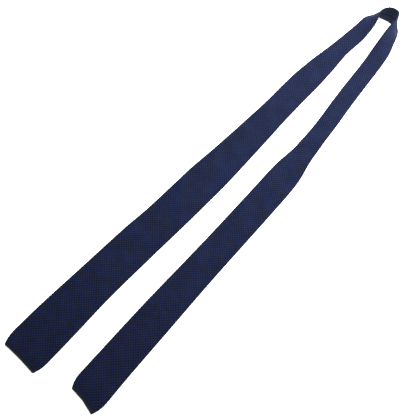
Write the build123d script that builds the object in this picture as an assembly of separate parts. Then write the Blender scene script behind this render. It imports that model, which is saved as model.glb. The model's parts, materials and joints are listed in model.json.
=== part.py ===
from build123d import *
import math
import os

# A square-ended knitted necktie, laid face up on a table in a narrow V. The wide front leg and the
# narrow tail lie flat. Between them the neck twists up on its edge and turns back on itself, as it
# does round a collar. +Y runs from the two square ends to the neck loop, and +Z is up off the table.
# The knit is one flat tube, closed down the middle of its back by a hand seam. It is cut across
# where it folds or swings, so that each length of it is a body of its own. All sizes are in mm.

# Lengths along the legs.
FRONT_LENGTH = 598.0  # front leg, from its square end to the fold below the loop
FRONT_TIP_LENGTH = 280.0  # front leg, from its square end to its middle fold
TAIL_LENGTH = 431.0  # tail leg, from its square end to the fold above the tail blade
TAIL_TIP_LENGTH = 200.0  # tail leg, from its square end to its middle fold
WELT_LENGTH = 6.0  # ribbed welt that closes each square end

# Widths across the legs.
FRONT_WIDTH = 59.0
TAIL_WIDTH = 48.0
NECK_WIDTH = 26.0
FRONT_END_PULL = 8.0  # how much narrower than the blade the welted end is
TAIL_END_PULL = 10.0
TAIL_END_SLANT = 4.6  # the tail's end is cut out of square by this much
FRONT_END_ARCH = 0.8  # how far the middle of each end curves in
TAIL_END_ARCH = 2.4

# The flat knitted tube.
THICKNESS = 3.4
WALL = 1.3
EDGE_ROUND = 1.1
PULL_LENGTH = 20.0  # the square ends pull in over this length
SEAM_GAP = 1.0  # between the two folded edges that meet at centre back
FOLD_GAP = 0.6  # between two lengths of the tube at a fold or swing line
FOLD_LIFT = 0.4  # how far above the face the fold axes lie
FIT = 0.05  # clearance round sewn-in threads and tapes

# What is sewn to the tube or lies in it.
THREAD = 0.8
TAPE_WIDTH = 12.0
TAPE_THICKNESS = 0.5
TAPE_GAP = 0.15  # between the neck tape and the back wall of the tube
TAPE_END_INSET = 12.0  # the neck tape stops this far short of each fold
TACK_LENGTH = 1.6
TACK_WIDTH = 9.0
KEEPER_HEIGHT = 225.0  # above the front end
KEEPER_SPAN = 44.0
KEEPER_BAND = 11.0
KEEPER_THICKNESS = 0.8
KEEPER_SEWN = 4.0  # sewn length at each end of the keeper
LABEL_HEIGHT = 190.0
LABEL_SPAN = 34.0
LABEL_BAND = 14.0
CARE_HEIGHT = 110.0  # above the tail end
CARE_SPAN = 15.0
CARE_BAND = 20.0
TAG_THICKNESS = 0.4
TAG_STITCH = 2.4  # length of one of the four corner stitches of a tag
KEEPER_SLACK = 0.24  # room left above the keeper's free length
BACKING = 1.0  # solid knit round the keeper's dip
STEP = 26.0  # spacing of the points that shape a long edge
OVERCUT = 1.0  # how far a cutter runs past what it cuts
LOOK = 0.5  # the neck's direction at a place is read over this length each way

# Each leg's centre line and width: (share of the leg's length, sideways place in mm, width as a
# share of the way from the neck's width to the leg's own). The width falls in soft steps, where
# the knitter took stitches off.
FRONT_SHAPE = [
    (0.00, -44.4, 1.00),
    (0.10, -43.4, 0.97),
    (0.20, -41.6, 0.86),
    (0.33, -37.6, 0.83),
    (0.40, -34.4, 0.78),
    (0.52, -31.2, 0.78),
    (0.60, -28.8, 0.66),
    (0.70, -27.0, 0.51),
    (0.79, -25.8, 0.41),
    (0.86, -25.0, 0.41),
    (0.93, -23.0, 0.30),
    (1.00, -20.7, 0.05),
]
TAIL_SHAPE = [
    (0.00, 45.1, 1.00),
    (0.12, 44.2, 0.92),
    (0.30, 43.9, 0.86),
    (0.46, 44.3, 0.74),
    (0.60, 45.0, 0.70),
    (0.80, 45.4, 0.70),
    (0.88, 44.9, 0.62),
    (0.96, 43.6, 0.18),
    (1.00, 42.9, 0.10),
]

# The neck's centre line from the front fold round to the tail fold: sideways, along from the front
# fold, how far the band's outer edge is up off the table, and how far the band is turned up on that
# edge, in degrees.
NECK_RUN = [
    (-20.7, 0.0, 0.0, 0),
    (-19.2, 16.0, 0.0, 0),
    (-17.6, 29.0, 0.8, 0),
    (-16.0, 39.5, 2.0, 3),
    (-14.7, 49.5, 3.4, 11),
    (-14.1, 61.0, 4.3, 24),
    (-14.4, 73.0, 4.2, 41),
    (-11.2, 86.0, 1.7, 69),
    (-0.4, 94.8, 0.0, 93),
    (12.0, 95.2, 0.0, 95),
    (20.4, 86.2, 0.9, 68),
    (23.5, 74.0, 1.7, 52),
    (25.2, 61.0, 1.5, 40),
    (27.3, 49.0, 1.4, 27),
    (28.8, 37.6, 1.0, 14),
    (30.0, 25.6, 0.5, 5),
    (31.1, 12.6, 0.2, 0),
    (32.6, -10.0, 0.0, 0),
    (34.6, -42.0, 0.0, 0),
    (37.3, -76.0, 0.0, 0),
    (40.3, -108.0, 0.0, 0),
    (42.9, -151.0, 0.0, 0),
]
FRONT_SWING_AT = 7  # numbers of the points of NECK_RUN where the legs swing
TAIL_SWING_AT = 10
SQUARING = 14.0  # over this length the neck turns square to the fold line
FLARE = 30.0  # over this length it widens to meet the leg
SECTION_STEP = 9.0  # greatest spacing of the neck's sections
LEAST_SECTIONS = 12  # and the least number of them in one length


def between(points, at, column):
    """A smooth value at a place along a list of points, whose first column is the place."""
    last = len(points) - 2
    i = min(last, max(0, sum(1 for p in points if p[0] <= at) - 1))

    def slope(k):
        low, mid, high = points[max(0, k - 1)], points[k], points[min(last + 1, k + 1)]
        if 0 < k <= last and mid[column] in (low[column], high[column]):
            return 0.0  # a level stretch stays level to its end
        return (high[column] - low[column]) / (high[0] - low[0])

    here, there = points[i], points[i + 1]
    span = there[0] - here[0]
    t = (at - here[0]) / span
    start = here[column] * (1 + 2 * t) * (1 - t) ** 2 + slope(i) * span * t * (1 - t) ** 2
    return start + there[column] * t * t * (3 - 2 * t) + slope(i + 1) * span * t * t * (t - 1)


class Leg:
    """A flat leg: its shape, its length and the place of its square end."""

    def __init__(self, shape, length, width, pull, end_y, slant, arch):
        self.shape, self.length, self.width = shape, length, width
        self.pull, self.end_y, self.slant, self.arch = pull, end_y, slant, arch

    def centre(self, along):
        return between(self.shape, along / self.length, 1)

    def full_width(self, along):
        share = between(self.shape, along / self.length, 2)
        gather = self.pull * (1 - min(1.0, along / PULL_LENGTH)) ** 2
        return NECK_WIDTH + (self.width - NECK_WIDTH) * share - gather

    def place(self, along, sideways):
        """A point of the leg in plan; near its end the rows follow the end's slant and arch."""
        half = self.full_width(along) / 2
        fade = max(0.0, 1 - along / PULL_LENGTH)
        bend = self.arch * (1 - (sideways / half) ** 2) - self.slant * sideways / (2 * half)
        return (self.centre(along) + sideways, self.end_y + along + bend * fade)

    def row_edge(self, along, half):
        """The line across the leg at one height, from left to right."""
        if along < PULL_LENGTH:
            return ThreePointArc(self.place(along, -half), self.place(along, 0), self.place(along, half))
        return Line(self.place(along, -half), self.place(along, half))

    def outline(self, start, finish, inset=0.0, strip=None):
        """The leg's plan from one height to another, or a narrow strip down its middle."""
        count = max(2, math.ceil((finish - start) / STEP))
        rows = [start + (finish - start) * i / count for i in range(count + 1)]
        if start < PULL_LENGTH < finish:
            rows = sorted(set(rows + [(start + PULL_LENGTH) / 2, PULL_LENGTH]))

        def half(row):
            return strip / 2 if strip else self.full_width(row) / 2 - inset

        left = Spline([self.place(row, -half(row)) for row in rows])
        right = Spline([self.place(row, half(row)) for row in rows])
        ends = [self.row_edge(row, half(row)) for row in (rows[0], rows[-1])]
        return Face(Wire([left, ends[1], right, ends[0]]))

    def slab(self, start, finish, low, high, inset=0.0, strip=None):
        plan = Pos(0, 0, low) * self.outline(start, finish, inset, strip)
        return extrude(plan, amount=high - low, dir=(0, 0, 1))


class Neck:
    """The neck's line in space, with the band's width direction and face direction along it."""

    def __init__(self, run, fold_y):
        places = []
        for x, y, lift, tilt in run:
            turn = math.radians(tilt)
            height = lift + math.sin(turn) * NECK_WIDTH / 2 + abs(math.cos(turn)) * THICKNESS / 2
            places.append((x, fold_y + y, height, tilt))
        self.marks = [0.0]
        for a, b in zip(places, places[1:]):
            self.marks.append(self.marks[-1] + math.dist(a[:3], b[:3]))
        self.points = [(mark, *place) for mark, place in zip(self.marks, places)]
        self.end = self.marks[-1]

    def at(self, s):
        return Vector(*(between(self.points, s, column) for column in (1, 2, 3)))

    def frame(self, s):
        """Centre, width direction towards the inner edge, and the direction the face looks."""
        ahead = (self.at(min(self.end, s + LOOK)) - self.at(max(0.0, s - LOOK))).normalized()
        near = min(s, self.end - s)
        square = Vector(0, 1 if s < self.end / 2 else -1, 0)
        ahead = (ahead * min(1.0, near / SQUARING) + square * max(0.0, 1 - near / SQUARING)).normalized()
        tilt = math.radians(between(self.points, s, 4))
        inward = Vector(ahead.Y, -ahead.X, 0).normalized()
        across = inward * math.cos(tilt) + Vector(0, 0, math.sin(tilt))
        across = (across - ahead * across.dot(ahead)).normalized()
        return self.at(s), across, across.cross(ahead), ahead

    def width(self, s):
        """The neck widens a little towards each fold, to meet the leg there."""
        front = FRONT.full_width(FRONT_LENGTH) - NECK_WIDTH
        tail = TAIL.full_width(TAIL_LENGTH) - NECK_WIDTH
        return (
            NECK_WIDTH
            + front * max(0.0, 1 - s / FLARE) ** 2
            + tail * max(0.0, 1 - (self.end - s) / FLARE) ** 2
        )

    def band(self, start, finish, profile, lift=0.0):
        """A solid along the neck, whose section at each place is profile(width)."""
        count = max(LEAST_SECTIONS, math.ceil((finish - start) / SECTION_STEP))
        sections = []
        for i in range(count + 1):
            s = start + (finish - start) * i / count
            centre, across, face, ahead = self.frame(s)
            plane = Plane(centre + face * lift, x_dir=across, z_dir=ahead)
            sections.append(plane * profile(self.width(s)))
        return loft(sections, ruled=True)


FRONT = Leg(FRONT_SHAPE, FRONT_LENGTH, FRONT_WIDTH, FRONT_END_PULL, 0.0, 0.0, FRONT_END_ARCH)
TAIL_FOLD_Y = FRONT_LENGTH + NECK_RUN[-1][1]
TAIL_END_Y = TAIL_FOLD_Y - TAIL_LENGTH
TAIL = Leg(TAIL_SHAPE, TAIL_LENGTH, TAIL_WIDTH, TAIL_END_PULL, TAIL_END_Y, TAIL_END_SLANT, TAIL_END_ARCH)
NECK = Neck(NECK_RUN, FRONT_LENGTH)
FRONT_SWING = NECK.marks[FRONT_SWING_AT]
TAIL_SWING = NECK.marks[TAIL_SWING_AT]
HOLLOW_LOW, HOLLOW_HIGH = WALL, THICKNESS - WALL
THREAD_LOW, THREAD_HIGH = WALL - THREAD, WALL
TAPE_LIFT = HOLLOW_LOW + TAPE_GAP + TAPE_THICKNESS / 2 - THICKNESS / 2  # the tape from mid-thickness
parts = {}


def flat_casing(leg, start, finish):
    """A flat length of the knitted tube, open at its ends, with the seam gap down its back."""
    shell = leg.slab(start, finish, 0.0, THICKNESS)
    long_edges = shell.edges().filter_by(GeomType.BSPLINE)
    shell = fillet(long_edges, EDGE_ROUND)
    shell -= leg.slab(start, finish, HOLLOW_LOW, HOLLOW_HIGH, inset=WALL)
    return shell - leg.slab(start, finish, -OVERCUT, THICKNESS / 2, strip=SEAM_GAP)


def flat_thread(leg, start, finish):
    return leg.slab(start, finish, THREAD_LOW, THREAD_HIGH, strip=SEAM_GAP - 2 * FIT)


def neck_casing(start, finish):
    """A length of the tube along the neck, as a flattened tube that follows its turns."""
    shell = NECK.band(start, finish, lambda w: SlotOverall(w, THICKNESS))
    shell -= NECK.band(start, finish, lambda w: SlotOverall(w - 2 * WALL, THICKNESS - 2 * WALL))
    gap_depth = THICKNESS / 2 + OVERCUT
    return shell - NECK.band(start, finish, lambda w: Rectangle(SEAM_GAP, gap_depth), -gap_depth / 2)


def neck_thread(start, finish):
    drop = (THREAD_LOW + THREAD_HIGH) / 2 - THICKNESS / 2
    return NECK.band(start, finish, lambda w: Rectangle(SEAM_GAP - 2 * FIT, THREAD), drop)


def neck_tape(start, finish):
    return NECK.band(start, finish, lambda w: Rectangle(TAPE_WIDTH, TAPE_THICKNESS), TAPE_LIFT)


def tape_tack(s):
    """A short stitch row between the tape's end and the back wall of the tube."""
    height = TAPE_GAP - FIT
    centre, across, face, ahead = NECK.frame(s)
    middle = centre + face * (TAPE_LIFT - (TAPE_THICKNESS + height) / 2)
    plane = Plane(middle, x_dir=across, z_dir=face)
    return plane * Box(TACK_WIDTH, TACK_LENGTH, height)


def patch(leg, along, span, band, low, high):
    """A flat block across the middle of the leg's back, centred at a height along it."""
    centre = leg.place(along, 0.0)
    return Pos(centre[0], centre[1], (low + high) / 2) * Box(span, band, high - low)


def add_leg(name, leg, tip_length):
    """The two flat lengths of a leg, its welt, the seam thread and the stitches that close its end."""
    half_gap = FOLD_GAP / 2
    tip = (WELT_LENGTH, tip_length - half_gap)
    blade = (tip_length + half_gap, leg.length - half_gap)
    parts[f"{name}_tip_casing"] = flat_casing(leg, *tip)
    parts[f"{name}_blade_casing"] = flat_casing(leg, *blade)
    parts[f"{name}_tip_seam_thread"] = flat_thread(leg, *tip)
    parts[f"{name}_blade_seam_thread"] = flat_thread(leg, *blade)
    welt = leg.slab(0.0, WELT_LENGTH, 0.0, THICKNESS)
    parts[f"{name}_end_welt"] = fillet(welt.edges().filter_by(GeomType.BSPLINE), EDGE_ROUND)
    middle = THICKNESS / 2
    inset = 2 * WALL
    stitches = leg.slab(-THREAD, 0.0, middle - THREAD / 2, middle + THREAD / 2, inset)
    parts[f"{name}_end_stitches"] = stitches - welt


def add_neck():
    """The standing loop and the two neck lengths that twist down from it to the folds."""
    half_gap = FOLD_GAP / 2
    lengths = {
        "front_neck": (half_gap, FRONT_SWING - half_gap),
        "loop": (FRONT_SWING + half_gap, TAIL_SWING - half_gap),
        "tail_neck": (TAIL_SWING + half_gap, NECK.end - half_gap),
    }
    tape_ends = (TAPE_END_INSET, NECK.end - TAPE_END_INSET)
    for name, (start, finish) in lengths.items():
        parts[f"{name}_casing"] = neck_casing(start, finish)
        parts[f"{name}_seam_thread"] = neck_thread(start, finish)
        parts[f"{name}_stay_tape"] = neck_tape(max(start, tape_ends[0]), min(finish, tape_ends[1]))
    parts["front_tape_tack"] = tape_tack(tape_ends[0] + TACK_LENGTH)
    parts["tail_tape_tack"] = tape_tack(tape_ends[1] - TACK_LENGTH)


def add_keeper():
    """The keeper loop across the front's back: a band sewn down at both ends, free in between."""
    depth = KEEPER_THICKNESS + FIT
    backed = (KEEPER_SPAN + 2 * BACKING, KEEPER_BAND + 2 * BACKING)
    fill = patch(FRONT, KEEPER_HEIGHT, *backed, depth, HOLLOW_HIGH)
    recess = patch(FRONT, KEEPER_HEIGHT, KEEPER_SPAN + 2 * FIT, KEEPER_BAND + 2 * FIT, -OVERCUT, depth)
    reach = KEEPER_BAND / 2 + BACKING + OVERCUT
    ends = (KEEPER_HEIGHT - reach, KEEPER_HEIGHT + reach)
    slit = FRONT.slab(*ends, -OVERCUT, THICKNESS / 2, strip=SEAM_GAP)
    parts["front_tip_casing"] = parts["front_tip_casing"] + fill - recess - slit
    parts["front_tip_seam_thread"] -= recess
    band = patch(FRONT, KEEPER_HEIGHT, KEEPER_SPAN, KEEPER_BAND, 0.0, KEEPER_THICKNESS)
    free = KEEPER_SPAN - 2 * KEEPER_SEWN
    slack = KEEPER_THICKNESS - KEEPER_SLACK
    band -= patch(FRONT, KEEPER_HEIGHT, free, KEEPER_BAND + 2 * OVERCUT, slack, depth)
    x, y = FRONT.place(KEEPER_HEIGHT, 0.0)
    offset = (KEEPER_SPAN - KEEPER_SEWN) / 2
    tacks = [Pos(x + side * offset, y, depth / 2) for side in (-1, 1)]
    for tack in tacks:
        band -= tack * Box(TACK_LENGTH + 2 * FIT, TACK_WIDTH + 2 * FIT, depth + 2 * OVERCUT)
    parts["keeper_loop"] = band
    parts["keeper_bar_tacks"] = Compound([tack * Box(TACK_LENGTH, TACK_WIDTH, depth) for tack in tacks])


def add_tag(name, leg, casing, along, span, band):
    """A blank woven tag sewn flat to the back by its four corners, in a shallow dip of the knit."""
    depth = TAG_THICKNESS + FIT
    parts[casing] -= patch(leg, along, span + 2 * FIT, band + 2 * FIT, -OVERCUT, depth)
    x, y = leg.place(along, 0.0)
    stitches = []
    tag = patch(leg, along, span, band, 0.0, TAG_THICKNESS)
    for across, up in ((-1, -1), (-1, 1), (1, -1), (1, 1)):
        corner = Pos(x + across * (span / 2 - TAG_STITCH), y + up * (band / 2 - TAG_STITCH), depth / 2)
        tag -= corner * Box(TAG_STITCH + 2 * FIT, THREAD + 2 * FIT, depth + 2 * OVERCUT)
        stitches.append(corner * Box(TAG_STITCH, THREAD, depth))
    parts[name] = tag
    parts[f"{name}_stitches"] = Compound(stitches)


add_leg("front", FRONT, FRONT_TIP_LENGTH)
add_leg("tail", TAIL, TAIL_TIP_LENGTH)
add_neck()
add_keeper()
add_tag("maker_label", FRONT, "front_tip_casing", LABEL_HEIGHT, LABEL_SPAN, LABEL_BAND)
add_tag("care_tag", TAIL, "tail_tip_casing", CARE_HEIGHT, CARE_SPAN, CARE_BAND)

# Everything moves so that the middle of its footprint, on the table, is the origin.
whole = Compound([solid for part in parts.values() for solid in part.solids()]).bounding_box()
HOME = Pos(-(whole.min.X + whole.max.X) / 2, -(whole.min.Y + whole.max.Y) / 2, -whole.min.Z)


def swing_axis(s):
    """A swing axis stands up just outside the band's lower outer edge, so that its end faces part."""
    centre, across, face, ahead = NECK.frame(s)
    outward = Vector(-ahead.Y, ahead.X, 0).normalized()
    reach = [(across * -NECK_WIDTH / 2 + face * side * THICKNESS / 2).dot(outward) for side in (-1, 1)]
    return centre + outward * (max(reach) + FOLD_LIFT)


fold_z = THICKNESS + FOLD_LIFT
axes = {
    "front_swing": swing_axis(FRONT_SWING),
    "tail_swing": swing_axis(TAIL_SWING),
    "front_neck_fold": Vector(FRONT.centre(FRONT_LENGTH), FRONT_LENGTH, fold_z),
    "front_middle_fold": Vector(FRONT.centre(FRONT_TIP_LENGTH), FRONT_TIP_LENGTH, fold_z),
    "tail_neck_fold": Vector(TAIL.centre(TAIL_LENGTH), TAIL_FOLD_Y, fold_z),
    "tail_middle_fold": Vector(TAIL.centre(TAIL_TIP_LENGTH), TAIL_END_Y + TAIL_TIP_LENGTH, fold_z),
}

os.makedirs("parts", exist_ok=True)
for name, part in parts.items():
    export_step(HOME * part, f"parts/{name}.step")
for name, place in axes.items():
    home = place + HOME.position
    print(f"{name} axis through ({home.X:.2f}, {home.Y:.2f}, {home.Z:.2f})")
print(f"{len(parts)} pieces, {whole.size.X:.1f} x {whole.size.Y:.1f} x {whole.size.Z:.1f} mm")
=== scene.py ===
# %% [markdown]
# # A knitted necktie, laid in a V
# The tie is one long flat tube of navy knit. It lies on a table with both legs face up, and its neck
# stands on edge and turns back, as round a collar. The CAD frame holds its sizes, its bodies and its
# hinges. Here the tube gets its real knit, its rib ends, its hand stitches and its tags.
# Shapes are worked out in millimetres and become metres when a mesh is made.

# %% Load the frame
import json
import math

import bmesh
import bpy
import numpy as np
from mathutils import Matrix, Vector


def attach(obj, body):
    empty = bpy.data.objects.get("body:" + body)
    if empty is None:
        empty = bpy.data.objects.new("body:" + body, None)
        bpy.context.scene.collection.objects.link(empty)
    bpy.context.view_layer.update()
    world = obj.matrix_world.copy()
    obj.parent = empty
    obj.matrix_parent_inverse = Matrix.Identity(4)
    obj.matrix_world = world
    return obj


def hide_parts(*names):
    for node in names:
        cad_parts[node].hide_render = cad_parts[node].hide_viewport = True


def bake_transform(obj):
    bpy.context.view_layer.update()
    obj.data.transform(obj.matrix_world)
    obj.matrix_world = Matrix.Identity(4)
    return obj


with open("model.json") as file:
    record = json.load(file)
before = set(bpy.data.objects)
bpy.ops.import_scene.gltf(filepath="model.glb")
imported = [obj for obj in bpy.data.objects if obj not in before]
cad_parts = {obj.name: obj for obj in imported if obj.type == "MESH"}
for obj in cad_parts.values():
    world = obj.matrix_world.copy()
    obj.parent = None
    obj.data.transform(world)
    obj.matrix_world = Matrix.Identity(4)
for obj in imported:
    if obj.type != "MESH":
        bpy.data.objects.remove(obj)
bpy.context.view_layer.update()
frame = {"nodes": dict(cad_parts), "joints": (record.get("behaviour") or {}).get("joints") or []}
MM = 0.001
hinges = {j["name"]: Vector(j["pos_m"]) / MM for j in frame["joints"]}


# %% [markdown]
# ## Small helpers
# Colours are picked as screen hex values, but the renderer adds light in linear values, so one
# function turns one into the other. The other three add a node with its settings and inputs, a sum
# and a wave, which keeps each tree short enough to read from top to bottom.

# %% Colour and node helpers
def linear(hex_colour):
    """A screen colour such as "1d2340" as the linear values that shaders use."""
    channels = [int(hex_colour[i:i + 2], 16) / 255 for i in (0, 2, 4)]
    return [c / 12.92 if c <= 0.04045 else ((c + 0.055) / 1.055) ** 2.4 for c in channels] + [1.0]


def add_node(tree, kind, inputs=None, **settings):
    node = tree.nodes.new(kind)
    for name, value in settings.items():
        setattr(node, name, value)
    for key, value in (inputs or {}).items():
        if isinstance(value, bpy.types.NodeSocket):
            tree.links.new(value, node.inputs[key])
        else:
            node.inputs[key].default_value = value
    return node


def calc(tree, operation, *values):
    """A sum on numbers or sockets, by a Math node."""
    return add_node(tree, "ShaderNodeMath", dict(enumerate(values)), operation=operation).outputs[0]


def wave(tree, distance, period):
    """The cosine of a distance, once round for each period."""
    turns = calc(tree, "DIVIDE", distance, period)
    return calc(tree, "COSINE", calc(tree, "MULTIPLY", turns, 2 * math.pi))


print("navy as linear values:", [round(v, 4) for v in linear("212641")])


# %% [markdown]
# ## The tie's line
# Each leg is a centre line and a width that falls in soft steps, where the knitter took stitches off.
# The neck is a line through space with a tilt: 0 is flat on the table, and 90 stands on its outer
# edge. These are the same few points that shape the CAD tube, so the cloth lies where its solid is.
# A smooth curve through a few points is easier to adjust than a long outline.

# %% Shape of the legs and the neck
FRONT_LENGTH, TAIL_LENGTH, WELT_LENGTH = 598.0, 431.0, 6.0
FRONT_TIP_LENGTH, TAIL_TIP_LENGTH = 280.0, 200.0  # from each square end to its leg's middle fold
FRONT_WIDTH, TAIL_WIDTH, NECK_WIDTH = 59.0, 48.0, 26.0
FRONT_END_PULL, TAIL_END_PULL, PULL_LENGTH = 8.0, 10.0, 20.0
FRONT_END_SLANT, TAIL_END_SLANT = 0.0, 4.6  # how far out of square each end is
FRONT_END_ARCH, TAIL_END_ARCH = 0.8, 2.4  # how far the middle of each end curves in
THICKNESS = 3.4
SQUARING = 14.0  # over this length the neck turns square to the fold line
FLARE = 30.0  # over this length it widens to meet the leg
LOOK = 0.5  # the neck's direction at a place is read over this length each way
FRONT_SWING_AT, TAIL_SWING_AT = 7, 10  # numbers of the points of NECK_RUN where the legs swing

# Share of the leg's length, sideways place in mm, and share of the way from neck width to full width.
FRONT_SHAPE = [
    (0.00, -44.4, 1.00),
    (0.10, -43.4, 0.97),
    (0.20, -41.6, 0.86),
    (0.33, -37.6, 0.83),
    (0.40, -34.4, 0.78),
    (0.52, -31.2, 0.78),
    (0.60, -28.8, 0.66),
    (0.70, -27.0, 0.51),
    (0.79, -25.8, 0.41),
    (0.86, -25.0, 0.41),
    (0.93, -23.0, 0.30),
    (1.00, -20.7, 0.05),
]
TAIL_SHAPE = [
    (0.00, 45.1, 1.00),
    (0.12, 44.2, 0.92),
    (0.30, 43.9, 0.86),
    (0.46, 44.3, 0.74),
    (0.60, 45.0, 0.70),
    (0.80, 45.4, 0.70),
    (0.88, 44.9, 0.62),
    (0.96, 43.6, 0.18),
    (1.00, 42.9, 0.10),
]
# Sideways, along from the front fold, height of the lower edge off the table, and tilt in degrees.
NECK_RUN = [
    (-20.7, 0.0, 0.0, 0),
    (-19.2, 16.0, 0.0, 0),
    (-17.6, 29.0, 0.8, 0),
    (-16.0, 39.5, 2.0, 3),
    (-14.7, 49.5, 3.4, 11),
    (-14.1, 61.0, 4.3, 24),
    (-14.4, 73.0, 4.2, 41),
    (-11.2, 86.0, 1.7, 69),
    (-0.4, 94.8, 0.0, 93),
    (12.0, 95.2, 0.0, 95),
    (20.4, 86.2, 0.9, 68),
    (23.5, 74.0, 1.7, 52),
    (25.2, 61.0, 1.5, 40),
    (27.3, 49.0, 1.4, 27),
    (28.8, 37.6, 1.0, 14),
    (30.0, 25.6, 0.5, 5),
    (31.1, 12.6, 0.2, 0),
    (32.6, -10.0, 0.0, 0),
    (34.6, -42.0, 0.0, 0),
    (37.3, -76.0, 0.0, 0),
    (40.3, -108.0, 0.0, 0),
    (42.9, -151.0, 0.0, 0),
]


def between(points, at, column):
    """A smooth value at a place along a list of points, whose first column is the place."""
    last = len(points) - 2
    i = min(last, max(0, sum(1 for p in points if p[0] <= at) - 1))

    def slope(k):
        low, mid, high = points[max(0, k - 1)], points[k], points[min(last + 1, k + 1)]
        if 0 < k <= last and mid[column] in (low[column], high[column]):
            return 0.0  # a level stretch stays level to its end
        return (high[column] - low[column]) / (high[0] - low[0])

    here, there = points[i], points[i + 1]
    span = there[0] - here[0]
    t = (at - here[0]) / span
    start = here[column] * (1 + 2 * t) * (1 - t) ** 2 + slope(i) * span * t * (1 - t) ** 2
    return start + there[column] * t * t * (3 - 2 * t) + slope(i + 1) * span * t * t * (t - 1)


# %% [markdown]
# ## One ruler from end to end
# The whole tie is measured by one number, its run: 0 at the front's square end, on up the front leg,
# round the neck and down the tail. At each run a row gives the middle of the band, the direction
# across it towards its inner edge, the direction its face looks, and its width. Every piece below is
# built from such rows, so they all meet.

# %% Rows along the run
def standing(x, y, lift, tilt):
    """A point of the neck's middle, from how high its lower edge is and how far it is turned up."""
    turn = math.radians(tilt)
    return x, y, lift + math.sin(turn) * NECK_WIDTH / 2 + abs(math.cos(turn)) * THICKNESS / 2, tilt


neck_places = [standing(*place) for place in NECK_RUN]
neck_marks = [0.0]
for a, b in zip(neck_places, neck_places[1:]):
    neck_marks.append(neck_marks[-1] + math.dist(a[:3], b[:3]))
neck_points = [(mark, *place) for mark, place in zip(neck_marks, neck_places)]
NECK_LENGTH = neck_marks[-1]
NECK_START, NECK_END = FRONT_LENGTH, FRONT_LENGTH + NECK_LENGTH
TOTAL = NECK_END + TAIL_LENGTH

home = hinges["front_neck_fold"] - Vector((FRONT_SHAPE[-1][1], 0, 0))
home.z = 0.0  # sideways 0, at the front fold, on the table
FRONT = {
    "shape": FRONT_SHAPE,
    "length": FRONT_LENGTH,
    "full": FRONT_WIDTH,
    "pull": FRONT_END_PULL,
    "arch": FRONT_END_ARCH,
    "slant": FRONT_END_SLANT,
    "fold_y": 0.0,
    "side": 1,
}
TAIL = {
    "shape": TAIL_SHAPE,
    "length": TAIL_LENGTH,
    "full": TAIL_WIDTH,
    "pull": TAIL_END_PULL,
    "arch": TAIL_END_ARCH,
    "slant": TAIL_END_SLANT,
    "fold_y": NECK_RUN[-1][1],
    "side": -1,
}


def leg_width(leg, along):
    share = between(leg["shape"], along / leg["length"], 2)
    gather = leg["pull"] * (1 - min(1.0, along / PULL_LENGTH)) ** 2
    return NECK_WIDTH + (leg["full"] - NECK_WIDTH) * share - gather


def leg_row(leg, along):
    """A row of a flat leg, at a height above its square end."""
    fade = max(0.0, 1 - along / PULL_LENGTH)
    sideways = between(leg["shape"], along / leg["length"], 1)
    return {
        "middle": home + Vector((sideways, leg["fold_y"] - leg["length"] + along, THICKNESS / 2)),
        "across": Vector((leg["side"], 0, 0)),
        "ahead": Vector((0, leg["side"], 0)),
        "face": Vector((0, 0, 1)),
        "width": leg_width(leg, along),
        "arch": leg["arch"] * leg["side"] * fade,
        "slant": -leg["slant"] * fade,
    }


def end_bend(row, x):
    """How far a row runs ahead of its middle at a place across it, for its arch and its slant."""
    t = 2 * x / row["width"]
    return row["arch"] * (1 - t * t) + row["slant"] * t / 2


def neck_at(s):
    return home + Vector([between(neck_points, s, column) for column in (1, 2, 3)])


def neck_row(s):
    """A row of the neck, which turns up on its edge and back."""
    ahead = (neck_at(min(NECK_LENGTH, s + LOOK)) - neck_at(max(0.0, s - LOOK))).normalized()
    near = min(s, NECK_LENGTH - s)
    square = Vector((0, 1 if s < NECK_LENGTH / 2 else -1, 0))
    ahead = (ahead * min(1.0, near / SQUARING) + square * max(0.0, 1 - near / SQUARING)).normalized()
    tilt = math.radians(between(neck_points, s, 4))
    inward = Vector((ahead.y, -ahead.x, 0)).normalized()
    across = inward * math.cos(tilt) + Vector((0, 0, math.sin(tilt)))
    across = (across - ahead * across.dot(ahead)).normalized()
    flare = [
        (leg_width(leg, leg["length"]) - NECK_WIDTH) * max(0.0, 1 - away / FLARE) ** 2
        for leg, away in ((FRONT, s), (TAIL, NECK_LENGTH - s))
    ]
    row = {"middle": neck_at(s), "across": across, "face": across.cross(ahead), "ahead": ahead}
    return {**row, "width": NECK_WIDTH + sum(flare), "arch": 0.0, "slant": 0.0}


def row_at(run):
    if run <= NECK_START:
        return {"run": run, **leg_row(FRONT, run)}
    if run >= NECK_END:
        return {"run": run, **leg_row(TAIL, TOTAL - run)}
    return {"run": run, **neck_row(run - NECK_START)}


def rows_over(start, finish, step):
    count = max(2, round((finish - start) / step))
    return [row_at(start + (finish - start) * i / count) for i in range(count + 1)]


FRONT_SWING, TAIL_SWING = (NECK_START + neck_marks[i] for i in (FRONT_SWING_AT, TAIL_SWING_AT))
print(f"the run is {TOTAL:.0f} mm long, {NECK_LENGTH:.0f} mm of it neck")


# %% [markdown]
# ## The knit on a flat tube
# The real cloth is a silk knit of little bumps and pits, set in a diamond grid. The tube's plain form
# is a grid of rows and columns. Each point carries its place on the cloth in millimetres: how far round
# from the middle of the face, and how far along the run. A pattern that reads those two numbers
# follows every bend of the neck, and its cells stay the same size where the tube narrows.
# Geometry Nodes then smooth the grid, raise each bump and sink each pit along the surface.
# A bump in the material alone would leave the outline smooth, so the relief is real geometry.

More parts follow.
